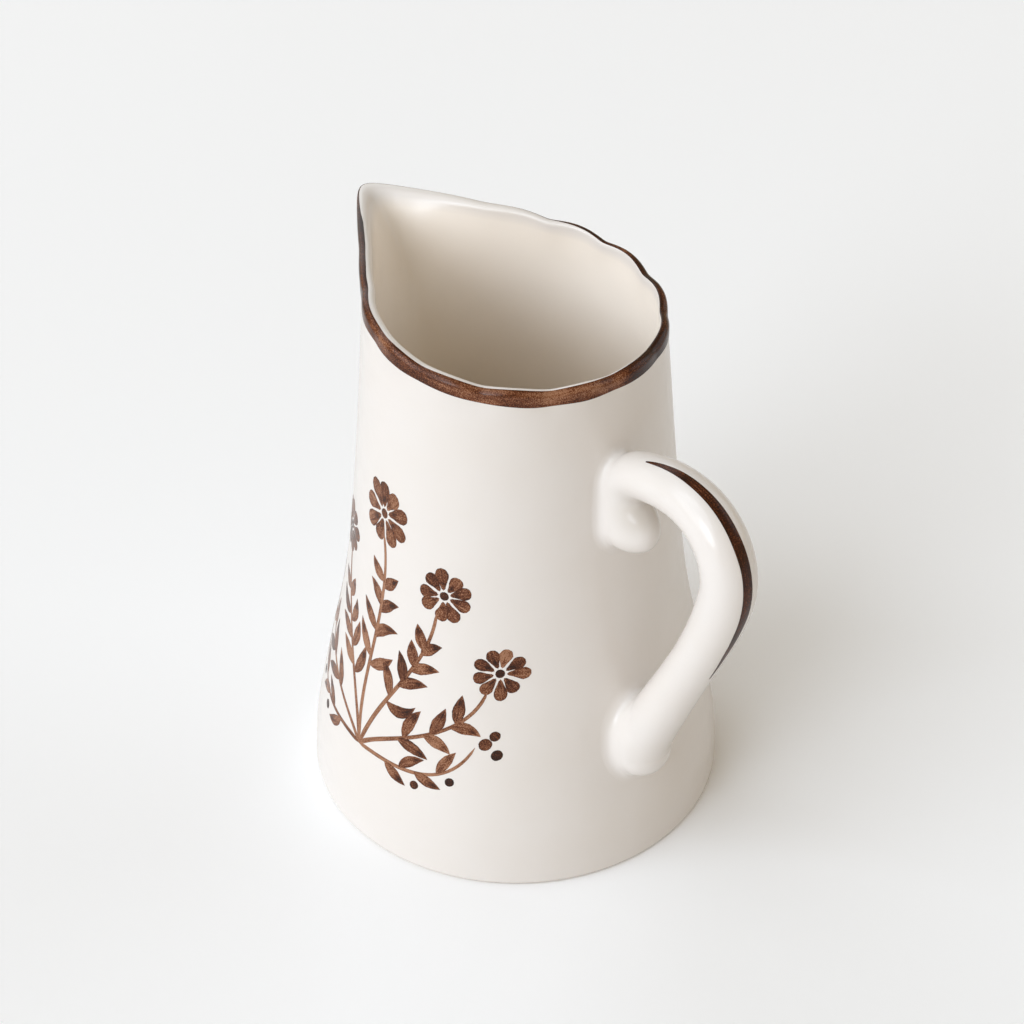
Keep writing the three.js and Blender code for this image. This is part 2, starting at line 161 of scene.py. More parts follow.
def grid_faces(rows, columns, wrapped):
    """Quads between neighbouring points of a grid, with its last column joined to its first if
    wrapped. They face along the cross product of the column step and the row step."""
    steps = columns if wrapped else columns - 1
    i, j = np.meshgrid(np.arange(rows - 1), np.arange(steps), indexing="ij")
    here = (i * columns + j).ravel()
    beside = (i * columns + (j + 1) % columns).ravel()
    return np.stack([here, beside, beside + columns, here + columns], axis=-1)


def add_piece(name, points, faces, finish, replaced=()):
    """A smooth mesh of points in millimetres that rides on the jug and stands for CAD nodes."""
    mesh = bpy.data.meshes.new(name)
    mesh.from_pydata(points * MILLIMETRE, [], faces)
    mesh.shade_smooth()
    mesh.materials.append(finish)
    piece = bpy.data.objects.new(name, mesh)
    bpy.context.scene.collection.objects.link(piece)
    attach(piece, "root")
    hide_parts(*replaced)
    return piece


class Socket:
    """One output of a material's nodes. Arithmetic on it adds Math nodes."""

    def __init__(self, tree, output=None):
        self.tree, self.output = tree, output

    def node(self, kind, settings=(), inputs=(), output=0):
        """Adds a node: first its settings, or a ramp's stops, then each socket's value or link."""
        made = self.tree.nodes.new(kind)
        for name, value in dict(settings).items():
            if name == "stops":
                ramp = made.color_ramp.elements
                while len(ramp) < len(value):
                    ramp.new(1)
                for stop, (place, colour) in zip(ramp, value):
                    stop.position, stop.color = place, colour
            else:
                setattr(made, name, value)
        for name, value in dict(inputs).items():
            if isinstance(value, Socket):
                self.tree.links.new(made.inputs[name], value.output)
            else:
                made.inputs[name].default_value = value
        return Socket(self.tree, made.outputs[output] if len(made.outputs) else None)

    def reckon(self, operation, first, second):
        """One Math node on two values or outputs."""
        return self.node("ShaderNodeMath", {"operation": operation}, {0: first, 1: second})

    def __add__(self, other):
        return self.reckon("ADD", self, other)

    def __sub__(self, other):
        return self.reckon("SUBTRACT", self, other)

    def __rsub__(self, other):
        return self.reckon("SUBTRACT", other, self)

    def __mul__(self, other):
        return self.reckon("MULTIPLY", self, other)

    __radd__, __rmul__ = __add__, __mul__

    def ramp(self, *stops):
        """A colour that runs straight from stop to stop as this grows from 0 to 1."""
        return self.node("ShaderNodeValToRGB", {"stops": stops}, {0: self})

    def between(self, low, high):
        """0 below low and 1 above high, easing between them."""
        settings = {"interpolation_type": "SMOOTHSTEP"}
        inputs = {"Value": self, "From Min": low, "From Max": high}
        return self.node("ShaderNodeMapRange", settings, inputs)

    def noise(self, scale, detail=2, roughness=0.5):
        """Noise at this place, from 0 to 1, with as many features to a unit as its scale."""
        inputs = {"Vector": self, "Scale": scale, "Detail": detail, "Roughness": roughness}
        return self.node("ShaderNodeTexNoise", {}, inputs)

    def blend(self, first, second):
        """The first colour where this is 0 and the second where it is 1. The Mix node's colour
        sockets go by number, because several share a name."""
        inputs = {0: self, 6: first, 7: second}
        return self.node("ShaderNodeMix", {"data_type": "RGBA"}, inputs, 2)

    def attribute(self, name, output):
        """A value that the mesh carries at each point."""
        return self.node("ShaderNodeAttribute", {"attribute_name": name}, {}, output)


def new_finish(name):
    """An empty material and the place from which its nodes are added."""
    finish = bpy.data.materials.new(name)
    finish.use_nodes = True
    finish.node_tree.nodes.clear()
    return finish, Socket(finish.node_tree)


def fire(start, colour, roughness, normal, shine=0.5):
    """The shader of a surface. Its shine is 0.5 for a glassy glint, and less for a duller one."""
    inputs = {"Base Color": colour, "Roughness": roughness, "Normal": normal}
    inputs["Specular IOR Level"] = shine
    shader = start.node("ShaderNodeBsdfPrincipled", {}, inputs)
    start.node("ShaderNodeOutputMaterial", {}, {"Surface": shader})


CREAM, WARM_CREAM = (0.787, 0.744, 0.707, 1), (0.777, 0.729, 0.685, 1)
# Inside, lighter cream near the rim is painted light and darker cream lower is painted shade.
INSIDE_PAINTED_LIGHT_CREAM, INSIDE_PAINTED_SHADE_CREAM = (0.958, 0.885, 0.8, 1), (0.9, 0.8, 0.68, 1)
# Darker cream in the scroll's eye is painted shade; bare clay is the wiped foot ring.
PAINTED_EYE_SHADE_CREAM, BARE_CLAY = (0.55, 0.5, 0.445, 1), (0.68, 0.6, 0.5, 1)
WIPED_BELOW, GLAZED_ABOVE, PAINTED_SHADE_BELOW, PAINTED_LIGHT_ABOVE = 0.0002, 0.0009, 0.122, 0.165
PAINTED_INSIDE_START, PAINTED_INSIDE_FADE = 0.5, 3
CLOUD_SCALE, CLOUD_LOW, CLOUD_HIGH = 34, 0.3, 0.75
PULL_SCALE, RIPPLE_SCALE, RIPPLE_SHARE = 55, 420, 0.12
PULL_STRENGTH, PULL_DEPTH = 0.1, 0.003
BARE_ROUGHNESS, GLAZE_SMOOTHING, GLOSS_SPREAD, GLOSS_SCALE = 0.75, 0.58, 0.1, 160

cream_glaze, glaze = new_finish("cream_glaze")
on_jug = glaze.node("ShaderNodeTexCoord", {}, {}, "Object")
glaze_height = on_jug.node("ShaderNodeSeparateXYZ", {}, {0: on_jug}, "Z")
glazed = glaze_height.between(WIPED_BELOW, GLAZED_ABOVE)
glaze_cloud = on_jug.noise(CLOUD_SCALE, detail=3).between(CLOUD_LOW, CLOUD_HIGH)
# Painted light and shade inside the jug: lighter cream near the rim, darker and warmer deep down.
inside = glaze.attribute("inside", "Fac")
inside_painted_light_and_shade = glaze_height.between(PAINTED_SHADE_BELOW, PAINTED_LIGHT_ABOVE).blend(INSIDE_PAINTED_SHADE_CREAM, INSIDE_PAINTED_LIGHT_CREAM)
cream_tone_and_painted_inside_light = inside.blend(glaze_cloud.blend(CREAM, WARM_CREAM), inside_painted_light_and_shade)
# Painted shade: darker cream in the eye of the scroll.
with_painted_eye_shade = glaze.attribute("pooled", "Fac").blend(cream_tone_and_painted_inside_light, PAINTED_EYE_SHADE_CREAM)
glaze_colour = glazed.blend(BARE_CLAY, with_painted_eye_shade)
glaze_pull = on_jug.noise(PULL_SCALE, detail=1) + RIPPLE_SHARE * on_jug.noise(RIPPLE_SCALE)
glaze_bump = {"Strength": PULL_STRENGTH, "Distance": PULL_DEPTH, "Height": glaze_pull}
glaze_normal = glaze.node("ShaderNodeBump", {}, glaze_bump)
glaze_smoothing = GLAZE_SMOOTHING - GLOSS_SPREAD * on_jug.noise(GLOSS_SCALE)
glaze_roughness = BARE_ROUGHNESS - glazed * glaze_smoothing
fire(glaze, glaze_colour, glaze_roughness, glaze_normal)

section_radius, section_height = body_section()
section_rows = len(section_radius)
sides_around = np.arange(SIDES) * 2 * np.pi / SIDES
sides_around = np.where(sides_around > np.pi, sides_around - 2 * np.pi, sides_around)
body_points = draw_out(section_radius[:, None], section_height[:, None], sides_around[None, :])
poles = [[0, 0, FOOT_RECESS], [0, 0, FLOOR_HEIGHT]]
body_points = np.vstack([body_points.reshape(-1, 3), poles])
side = np.arange(SIDES)
next_side = (side + 1) % SIDES
top_row = (section_rows - 1) * SIDES
under_pole, floor_pole = len(body_points) - 2, len(body_points) - 1
body_faces = grid_faces(section_rows, SIDES, True).tolist()
under_fan = [np.full(SIDES, under_pole), next_side, side]
floor_fan = [top_row + side, top_row + next_side, np.full(SIDES, floor_pole)]
body_faces += np.stack(under_fan, axis=-1).tolist() + np.stack(floor_fan, axis=-1).tolist()
body = add_piece("glazed_body", body_points, body_faces, cream_glaze, ["jug_body"])
# Where the inside's painted light and shade go: the inner wall and floor, from just below the lip.
inner_rows = np.arange(section_rows) > section_height.argmax()
below_lip = LIP_FOOT + PAINTED_INSIDE_START - section_height
painted_inside_share = np.where(inner_rows, np.clip(below_lip / PAINTED_INSIDE_FADE, 0, 1), 0)
body.data.attributes.new("inside", "FLOAT", "POINT").data.foreach_set(
    "value", np.append(np.repeat(painted_inside_share, SIDES), [0, 1]).astype(np.float32))


# Handle: a rod of the same clay, bent into a scroll at its upper end and spread into a pad at its
# tail. Both joints are luted with slip, wiped to soft hollows and glazed over, so rod, slip and
# wall run into one another. The eye of the scroll is coloured darker as painted shade.
CROWN_BELOW_RIM, CROWN_STANDOFF, CROWN_CLIMB = 26.1, 14.6, 16.3
CROWN_HEIGHT = RIM_HEIGHT - CROWN_BELOW_RIM
SCROLL_DROP, SCROLL_STANDOFF, SCROLL_CLIMB = 22.4, 1.8, 94
BOW_DROP, BOW_STANDOFF = 18.5, 48.2
TAIL_HEIGHT, TAIL_STANDOFF, TAIL_FALL = 45, 1.9, 72
SCROLL_HOLDS, BOW_HOLDS, SHANK_HOLDS = (9, 15), (29, 9), (21.6, 7.7)
SCROLL_ROD, BOW_ROD, SHANK_ROD, TAIL_ROD = 7.1, 8.44, 7.6, 9
SLIMMEST_SHARE_OF_SHANK = 0.4
CURL_DROP, CURL_STANDOFF, CURL_HALVES, CURL_MELT = 20.5, 7, (9.2, 6.5, 9), 5.5
EYE_DROP, EYE_STANDOFF, EYE_WIDTH, EYE_HEIGHT = 13, 13.6, 7.4, 6.2
PAD_RISE, PAD_STANDOFF, PAD_LEAN, PAD_HALVES, PAD_MELT = 4.6, 1, 0.21, (7, 10, 11.9), 5
SLIP_REACH, SLIP_SUNK, SKIN_BELOW_WALL = 3.8, 1, 0.02
CURVE_SAMPLES, ROD_SAMPLES, COARSE_STEP, POINTS_AT_ONCE = 600, 1920, 16, 20000
NET_STEP, NET_MARGIN, NET_SUNK = 0.6, 2, 4
SETTLE_ROUNDS, SETTLE_STEP, SETTLE_LEAST_SLOPE = 3, 0.3, 0.3


def off_wall(standoff, height):
    """The place in the handle's plane at a height and a distance out from the wall there."""
    return np.array([wall_radius(height) + standoff, height])


def heading(degrees):
    """The unit step at an angle above level, by its cosine and sine."""
    return np.array([np.cos(np.radians(degrees)), np.sin(np.radians(degrees))])


def handle_line():
    """The rod's centre line in the plane of the lip: three cubic Bezier curves from the scroll's
    foot on the wall through the crown and the bow to the tail, as points at even steps, with the
    shares of the whole length at which the crown and the bow lie."""
    scroll = off_wall(SCROLL_STANDOFF, CROWN_HEIGHT - SCROLL_DROP)
    crown = off_wall(CROWN_STANDOFF, CROWN_HEIGHT)
    bow = off_wall(BOW_STANDOFF, CROWN_HEIGHT - BOW_DROP)
    tail = off_wall(TAIL_STANDOFF, TAIL_HEIGHT)
    ways = [heading(SCROLL_CLIMB), heading(CROWN_CLIMB), heading(-90), heading(-TAIL_FALL)]
    stops, holds = [scroll, crown, bow, tail], [SCROLL_HOLDS, BOW_HOLDS, SHANK_HOLDS]
    t = np.linspace(0, 1, CURVE_SAMPLES)[:, None]
    curves = []
    for k, (leave, arrive) in enumerate(holds):
        after, before = stops[k] + leave * ways[k], stops[k + 1] - arrive * ways[k + 1]
        ends = (1 - t) ** 3 * stops[k] + t ** 3 * stops[k + 1]
        curves.append(ends + 3 * (1 - t) ** 2 * t * after + 3 * (1 - t) * t ** 2 * before)
    line = np.vstack(curves)
    run = np.concatenate([[0], np.cumsum(np.hypot(*np.diff(line, axis=0).T))])
    even = np.linspace(0, run[-1], ROD_SAMPLES)
    points = np.stack([np.interp(even, run, values) for values in line.T], axis=-1)
    return points, run[CURVE_SAMPLES] / run[-1], run[2 * CURVE_SAMPLES] / run[-1]


rod_line, crown_at, bow_at = handle_line()
shank_at = bow_at + (1 - bow_at) * SLIMMEST_SHARE_OF_SHANK


def rod_radius(share):
    """Swells from scroll to bow, slims to the shank and thickens to the tail, easing between."""
    swell = SCROLL_ROD + (BOW_ROD - SCROLL_ROD) * smoothstep(share, 0, bow_at)
    slim = swell + (SHANK_ROD - swell) * smoothstep(share, bow_at, shank_at)
    return slim + (TAIL_ROD - slim) * smoothstep(share, shank_at, 1)


rod_radii = rod_radius(np.linspace(0, 1, ROD_SAMPLES))


def nearest_rod(x, z):
    """Distance in the handle's plane from the nearest sample of the centre line, found among
    samples a coarse step apart and then among that one's neighbours, and the rod's radius there."""
    gaps, radii = [], []
    flat = np.stack([np.ravel(x), np.ravel(z)], axis=-1)
    beside = np.arange(-COARSE_STEP, COARSE_STEP + 1)
    for some in np.array_split(flat[:, None, :], len(flat) // POINTS_AT_ONCE + 1):
        coarse = np.linalg.norm(some - rod_line[::COARSE_STEP], axis=-1) - rod_radii[::COARSE_STEP]
        first = coarse.argmin(axis=1)[:, None] * COARSE_STEP
        close = np.clip(first + beside, 0, ROD_SAMPLES - 1)
        fine = np.linalg.norm(some - rod_line[close], axis=-1)
        best = (fine - rod_radii[close]).argmin(axis=1)[:, None]
        gaps.append(np.take_along_axis(fine, best, axis=1)[:, 0])
        radii.append(rod_radii[np.take_along_axis(close, best, axis=1)[:, 0]])
    return [np.concatenate(found).reshape(np.shape(x)) for found in (gaps, radii)]


def wall_distance(x, y, z, step=0.5):
    """Distance from the outer wall: the gap in radius times the cosine of the wall's slope, which
    comes from a central difference."""
    slope = (wall_radius(z + step) - wall_radius(z - step)) / (2 * step)
    return (np.hypot(x, y) - wall_radius(z)) / np.sqrt(1 + slope ** 2)


def lump_distance(x, y, z, centre, halves, lean=0):
    """Distance from an ellipsoid of clay in the handle's plane that leans outwards below its
    centre: how far the point is out of it, in shares of its half axes, times the least of them."""
    outward, upward = x - centre[0] + lean * (z - centre[1]), z - centre[1]
    wide, thick, tall = halves
    share = np.sqrt((outward / wide) ** 2 + (y / thick) ** 2 + (upward / tall) ** 2)
    return (share - 1) * min(halves)


def melt(first, second, reach):
    """The smaller of two distances, less a quadratic hollow where they differ by less than the
    reach."""
    nearness = np.clip(1 - np.abs(first - second) / reach, 0, 1)
    return np.minimum(first, second) - nearness ** 2 * reach / 4


def handle_distance(x, y, z):
    """Below 0 inside the handle: the rod, less far by its radius than its nearest centre, melted
    with its curl, its tail's pad and the wall, then cut off below the wall's skin and past the
    slip's reach from the rod."""
    gap, radius = nearest_rod(*np.broadcast_arrays(x, z))
    curl_centre = off_wall(CURL_STANDOFF, CROWN_HEIGHT - CURL_DROP)
    pad_centre = off_wall(PAD_STANDOFF, TAIL_HEIGHT + PAD_RISE)
    curl = lump_distance(x, y, z, curl_centre, CURL_HALVES)
    pad = lump_distance(x, y, z, pad_centre, PAD_HALVES, PAD_LEAN)
    rod = melt(melt(np.hypot(gap, y) - radius, curl, CURL_MELT), pad, PAD_MELT)
    wall = wall_distance(x, y, z) + SKIN_BELOW_WALL
    joined = np.maximum(melt(rod, wall, SLIP_REACH), -wall - SLIP_SUNK)
    return np.maximum(joined, rod - SLIP_REACH)


def level_net(values):
    """The zero level of values on a box grid: a point in each cell that it passes through, at the
    mean of its crossings of the cell's edges, and a quad round each crossed grid edge."""
    cells = np.array(values.shape) - 1
    total, count = np.zeros((*cells, 3)), np.zeros(cells)
    crossed_edges = []
    for axis in range(3):
        one, two = [k for k in range(3) if k != axis]
        first = np.take(values, np.arange(cells[axis]), axis)
        second = np.take(values, np.arange(cells[axis]) + 1, axis)
        crossed = (first < 0) != (second < 0)
        along = np.where(crossed, first / np.where(crossed, first - second, 1), 0)
        crossed_edges.append((crossed, first < 0))
        for a, b in ((0, 0), (0, 1), (1, 0), (1, 1)):
            pick = [slice(None)] * 3
            pick[one], pick[two] = slice(a, a + cells[one]), slice(b, b + cells[two])
            hit = crossed[tuple(pick)]
            count += hit
            total[..., axis] += along[tuple(pick)]
            total[..., one] += a * hit
            total[..., two] += b * hit
    used = count > 0
    index = np.full(cells, -1)
    index[used] = np.arange(used.sum())
    points = np.argwhere(used) + total[used] / count[used][:, None]
    quads = []
    for axis, (crossed, starts_inside) in enumerate(crossed_edges):
        one, two = [k for k in range(3) if k != axis]
        edges = np.argwhere(crossed)
        inward = starts_inside[crossed]
        back_one, back_two = np.eye(3, dtype=int)[one], np.eye(3, dtype=int)[two]
        ring = [edges - back_one - back_two, edges - back_two, edges, edges - back_one]
        quad = np.stack([index[tuple(corner.T)] for corner in ring], axis=-1)
        turned = inward if axis == 1 else ~inward
        quads.append(np.where(turned[:, None], quad[:, ::-1], quad))
    return points, np.vstack(quads)


def handle_slope(points, step=0.2):
    """Gradient of the handle's distance by central differences."""
    shifts = np.eye(3) * step
    ahead = [handle_distance(*(points + shift).T) for shift in shifts]
    behind = [handle_distance(*(points - shift).T) for shift in shifts]
    return (np.stack(ahead, axis=-1) - np.stack(behind, axis=-1)) / (2 * step)


net_reach = max(PAD_HALVES) + SLIP_REACH + NET_MARGIN
rod_out, rod_top = rod_line.max(axis=0)
net_low = np.array([wall_radius(rod_top) - NET_SUNK, -net_reach, rod_line[-1, 1] - net_reach])
net_high = np.array([rod_out + BOW_ROD + NET_MARGIN, net_reach, rod_top + BOW_ROD + NET_MARGIN])
net_x, net_y, net_z = (np.arange(low, high, NET_STEP) for low, high in zip(net_low, net_high))
net_values = handle_distance(net_x[:, None, None], net_y[None, :, None], net_z[None, None, :])
handle_points, handle_faces = level_net(net_values)
handle_points = net_low + NET_STEP * handle_points
for settle in range(SETTLE_ROUNDS):
    pull = handle_slope(handle_points)
    steep = np.maximum((pull ** 2).sum(axis=1, keepdims=True), SETTLE_LEAST_SLOPE)
    move = handle_distance(*handle_points.T)[:, None] * pull / steep
    handle_points -= np.clip(move, -SETTLE_STEP, SETTLE_STEP)
handle = add_piece(
    "glazed_handle", handle_points, handle_faces.tolist(), cream_glaze,
    ["handle", "upper_slip_bead", "lower_slip_bead"],
)
handle.data.normals_split_custom_set_from_vertices(handle_slope(handle_points).tolist())
# Painted shade in the eye of the scroll: darker cream round the eye, fading outwards.
eye_x, eye_z = off_wall(EYE_STANDOFF, CROWN_HEIGHT - EYE_DROP)
handle_x, _, handle_z = handle_points.T
from_eye = np.hypot((handle_x - eye_x) / EYE_WIDTH, (handle_z - eye_z) / EYE_HEIGHT)
handle.data.attributes.new("pooled", "FLOAT", "POINT").data.foreach_set(
    "value", np.exp(-from_eye ** 2).astype(np.float32))


# Rim band: brown ceramic colour laid on with a loaded brush while the jug turns, from just under
# the lip up over its outer edge, then glazed over. It is thin enough to show the brush's streaks.
BAND_HEIGHT, BAND_WALL_SHARE, BAND_SCALLOP_SHARE = 2, 0.45, 0.8
BAND_LOW_WAVER, BAND_EDGE_WAVER, BAND_LOAD_WAVER = 0.4, 6, 0.15
BAND_BRISTLES_ROUND, BAND_BRISTLES_ACROSS = 2.6, 3.2
BAND_EDGE_AROUND = (-180, -165, -120, -95, -40, -10, 20, 50, 90, 115, 130, 145, 180)
BAND_EDGE_TURN = (66, 96, 90, 82, 82, 88, 108, 130, 126, 110, 80, 52, 66)
BAND_LOAD_AROUND = (-180, -150, -110, -75, -40, -12, 2, 9, 20, 45, 80, 130, 180)
BAND_LOAD = (0.85, 0.85, 0.55, 0.52, 0.36, 0.3, 0.34, 0.8, 0.95, 0.95, 0.75, 0.65, 0.85)
COLOUR_PROUD, COLOUR_SUNK = 0.05, 0.3
BAND_SIDES, BAND_ROWS = SCALLOP_COUNT * 40, 16
THIN_BROWN, WASH_BROWN = (0.36, 0.18, 0.1, 1), (0.185, 0.06, 0.024, 1)
FULL_BROWN, DARK_BROWN = (0.075, 0.02, 0.007, 1), (0.022, 0.008, 0.004, 1)
THIN_AT, WASH_AT, FULL_AT, DARK_AT = 0.05, 0.35, 0.62, 1
GRAIN_SCALE, PATCH_SCALE = 3300, 130
STREAK_SHARE, GRAIN_SHARE, PATCH_SHARE, POOL_SHARE = 1.2, 1.7, 0.7, 0.22
BROWN_ROUGHNESS, BROWN_GLOSS_SPREAD, BROWN_SHINE = 0.17, 0.1, 0.25

brown_colour, brown = new_finish("brown_colour")
in_stroke = brown.attribute("stroke", "Vector")
brush_side = brown.node("ShaderNodeSeparateXYZ", {}, {0: in_stroke}, "X")
brush_load = brown.node("ShaderNodeSeparateXYZ", {}, {0: in_stroke}, "Y")
bristles = brown.attribute("bristles", "Vector")
on_paint = brown.node("ShaderNodeTexCoord", {}, {}, "Object")
streaks = bristles.noise(1, detail=4, roughness=0.6) - 0.5
grain = on_paint.noise(GRAIN_SCALE, detail=1) - 0.5
patches = on_paint.noise(PATCH_SCALE) - 0.5
off_middle = brush_side * brush_side
pooled_edge = POOL_SHARE * off_middle * off_middle * off_middle
unevenness = STREAK_SHARE * streaks + GRAIN_SHARE * grain + PATCH_SHARE * patches
density = brush_load + unevenness + pooled_edge
brown_shade = density.ramp(
    (THIN_AT, THIN_BROWN), (WASH_AT, WASH_BROWN), (FULL_AT, FULL_BROWN), (DARK_AT, DARK_BROWN))
brown_roughness = BROWN_ROUGHNESS + BROWN_GLOSS_SPREAD * on_paint.noise(GLOSS_SCALE)
fire(brown, brown_shade, brown_roughness, (0, 0, 0), BROWN_SHINE)


def lay_colour(surface, normals, wrapped=False):
    """A thin closed skin on a grid of surface points: the grid raised and sunk along its normals,
    with a strip of quads round its edges."""
    rows, columns = surface.shape[:2]
    count = rows * columns
    skins = [surface + COLOUR_PROUD * normals, surface - COLOUR_SUNK * normals]
    points = np.concatenate(skins).reshape(-1, 3)
    top = grid_faces(rows, columns, wrapped)
    across = np.arange(columns)
    last_row = (rows - 1) * columns
    if wrapped:
        edges = [np.append(across, 0), last_row + np.append(across, 0)[::-1]]
    else:
        down = np.arange(rows) * columns
        there, back = [across, down[1:] + columns - 1], [last_row + across[-2::-1], down[-2::-1]]
        edges = [np.concatenate(there + back)]
    strips = [np.stack([e[1:], e[:-1], e[:-1] + count, e[1:] + count], axis=-1) for e in edges]
    return points, np.vstack([top, top[:, ::-1] + count, *strips])


def add_colour(name, layers, replaced=()):
    """A piece of brushed colour from layers of surface, normals, stroke and bristle values. A
    stroke value is the place across the brush, from -1 to 1, and the load of colour."""
    points, faces, normals, strokes, bristle = [], [], [], [], []
    for surface, normal, stroke, hairs, wrapped in layers:
        skin, quads = lay_colour(surface, normal, wrapped)
        faces.append(quads + sum(map(len, points)))
        points.append(skin)
        normals.append(np.tile(normal.reshape(-1, 3), (2, 1)))
        strokes.append(np.tile(stroke.reshape(-1, 3), (2, 1)))
        bristle.append(np.tile(hairs.reshape(-1, 3), (2, 1)))
    faces = np.vstack(faces).tolist()
    piece = add_piece(name, np.vstack(points), faces, brown_colour, replaced)
    for label, values in (("stroke", strokes), ("bristles", bristle)):
        layer = piece.data.attributes.new(label, "FLOAT_VECTOR", "POINT")
        layer.data.foreach_set("vector", np.vstack(values).astype(np.float32).ravel())
    piece.data.normals_split_custom_set_from_vertices(np.vstack(normals).tolist())


def waver(along, seed, waves=7, slowest=3):
    """A hand's unsteadiness from -1 to 1: the mean of sines of seeded phase, each with a multiple
    of the slowest one's swings to a turn, weighted by one over the root of its swings."""
    phase = np.random.default_rng(seed).uniform(0, 2 * np.pi, waves)
    order = np.arange(1, waves + 1) * slowest
    waves_there = np.sin(along[..., None] * order + phase) / np.sqrt(order)
    return waves_there.sum(-1) / np.sqrt(1 / order).sum()


band_around = np.arange(BAND_SIDES) * 2 * np.pi / BAND_SIDES - np.pi
band_degrees = np.degrees(band_around)
band_up = np.linspace(0, 1, BAND_ROWS)[:, None]
band_bottom = LIP_FOOT - BAND_HEIGHT + BAND_LOW_WAVER * waver(band_around, seed=3)
band_bottom -= BAND_SCALLOP_SHARE * SCALLOP_HEIGHT * scallop_press(band_bottom, band_around)
band_wrap = np.interp(band_degrees, BAND_EDGE_AROUND, BAND_EDGE_TURN)
band_wrap += BAND_EDGE_WAVER * waver(band_around, seed=5)
on_wall = np.clip(band_up / BAND_WALL_SHARE, 0, 1)
over_lip = np.clip((band_up - BAND_WALL_SHARE) / (1 - BAND_WALL_SHARE), 0, 1)
band_height = band_bottom + (LIP_FOOT - band_bottom) * on_wall
lip_radius, lip_height = lip_section(np.radians(band_wrap) * over_lip)
band_radius = np.where(band_up < BAND_WALL_SHARE, wall_radius(band_height), lip_radius)
band_height = np.where(band_up < BAND_WALL_SHARE, band_height, lip_height)
band_surface = draw_out(band_radius, band_height, np.broadcast_to(band_around, band_height.shape))
band_along = np.roll(band_surface, -1, 1) - np.roll(band_surface, 1, 1)
band_normals = np.cross(band_along, np.gradient(band_surface, axis=0))
band_normals /= np.linalg.norm(band_normals, axis=-1, keepdims=True)
band_flat = np.zeros((BAND_ROWS, BAND_SIDES))
band_load = np.interp(band_degrees, BAND_LOAD_AROUND, BAND_LOAD)
band_load = band_load + BAND_LOAD_WAVER * waver(band_around, seed=8) + band_flat
band_stroke = np.stack([2 * band_up - 1 + band_flat, band_load, band_flat], axis=-1)
band_bristles = np.stack([
    BAND_BRISTLES_ROUND * np.cos(band_around) + band_flat,
    BAND_BRISTLES_ROUND * np.sin(band_around) + band_flat,
    BAND_BRISTLES_ACROSS * band_up + band_flat,
], axis=-1)
band_layer = (band_surface, band_normals, band_stroke, band_bristles, True)
add_colour("brushed_rim_band", [band_layer], ["rim_band"])


# Handle stroke: one pull of the same brown colour down the outer back of the rod, from the crown
# past the bow, pointed where the brush lands and where it lifts.
STROKE_WIDTH, STROKE_POINT_WIDTH, STROKE_LATER, STROKE_SWELL = 3.7, 0.4, 0.016, 0.8
STROKE_TILT, STROKE_TURN, STROKE_TURN_HASTE = 3, 19, 5
STROKE_WIDTH_WAVER, STROKE_MIDDLE_WAVER, STROKE_LOAD = 0.07, 0.03, 0.78
STROKE_WIDTH_WAVER_RUN, STROKE_MIDDLE_WAVER_RUN = 3, 2
STROKE_BRISTLES_ALONG, STROKE_BRISTLES_PLACE, STROKE_BRISTLES_ACROSS = 4, 9, 2.2
STROKE_ROWS, STROKE_COLUMNS = 150, 13


def rod_frame(share):
    """Centre, outward and sideways directions of the rod at shares of its length."""
    place = share * (ROD_SAMPLES - 1)
    spot = np.arange(ROD_SAMPLES)
    way = np.gradient(rod_line, axis=0)
    no_side = np.zeros_like(place)

    def at_place(values):
        """Values in the handle's plane between samples, as points with no sideways part."""
        x, z = (np.interp(place, spot, part) for part in values.T)
        return np.stack([x, no_side, z], axis=-1)

    centre, forward = at_place(rod_line), at_place(way)
    forward /= np.linalg.norm(forward, axis=-1, keepdims=True)
    sideways = np.broadcast_to([0.0, -1.0, 0.0], forward.shape)
    return centre, np.cross(sideways, forward), sideways


stroke_run = np.linspace(0, 1, STROKE_ROWS)
stroke_share = crown_at + STROKE_LATER + (shank_at - crown_at - STROKE_LATER) * stroke_run
stroke_side = np.linspace(-1, 1, STROKE_COLUMNS)
swell = np.sin(np.pi * stroke_run ** STROKE_SWELL)
stroke_width = STROKE_POINT_WIDTH + (STROKE_WIDTH - STROKE_POINT_WIDTH) * swell
width_waver = waver(STROKE_WIDTH_WAVER_RUN * stroke_run, seed=11)
half_width = stroke_width / 2 * (1 + STROKE_WIDTH_WAVER * width_waver)
stroke_turn = STROKE_TILT + STROKE_TURN * (1 - stroke_run) ** STROKE_TURN_HASTE
middle_waver = waver(STROKE_MIDDLE_WAVER_RUN * stroke_run, seed=12)
stroke_middle = np.radians(stroke_turn) + STROKE_MIDDLE_WAVER * middle_waver
stroke_rod = rod_radius(stroke_share)
stroke_angle = stroke_middle[:, None] + (half_width / stroke_rod)[:, None] * stroke_side
centre, outward, sideways = (part[:, None, :] for part in rod_frame(stroke_share))
stroke_cosine, stroke_sine = np.cos(stroke_angle)[..., None], np.sin(stroke_angle)[..., None]
stroke_normals = stroke_cosine * outward + stroke_sine * sideways
stroke_surface = centre + stroke_rod[:, None, None] * stroke_normals
stroke_flat = 0 * stroke_angle
stroke_values = np.stack([
    stroke_side + stroke_flat,
    STROKE_LOAD + stroke_flat,
    stroke_flat,
], axis=-1)
stroke_bristles = np.stack([
    STROKE_BRISTLES_ALONG * stroke_run[:, None] + stroke_flat,
    STROKE_BRISTLES_PLACE + stroke_flat,
    STROKE_BRISTLES_ACROSS * stroke_side * half_width[:, None],
], axis=-1)
stroke_layer = (stroke_surface, stroke_normals, stroke_values, stroke_bristles, False)
add_colour("brushed_handle_stroke", [stroke_layer], ["handle_stroke"])


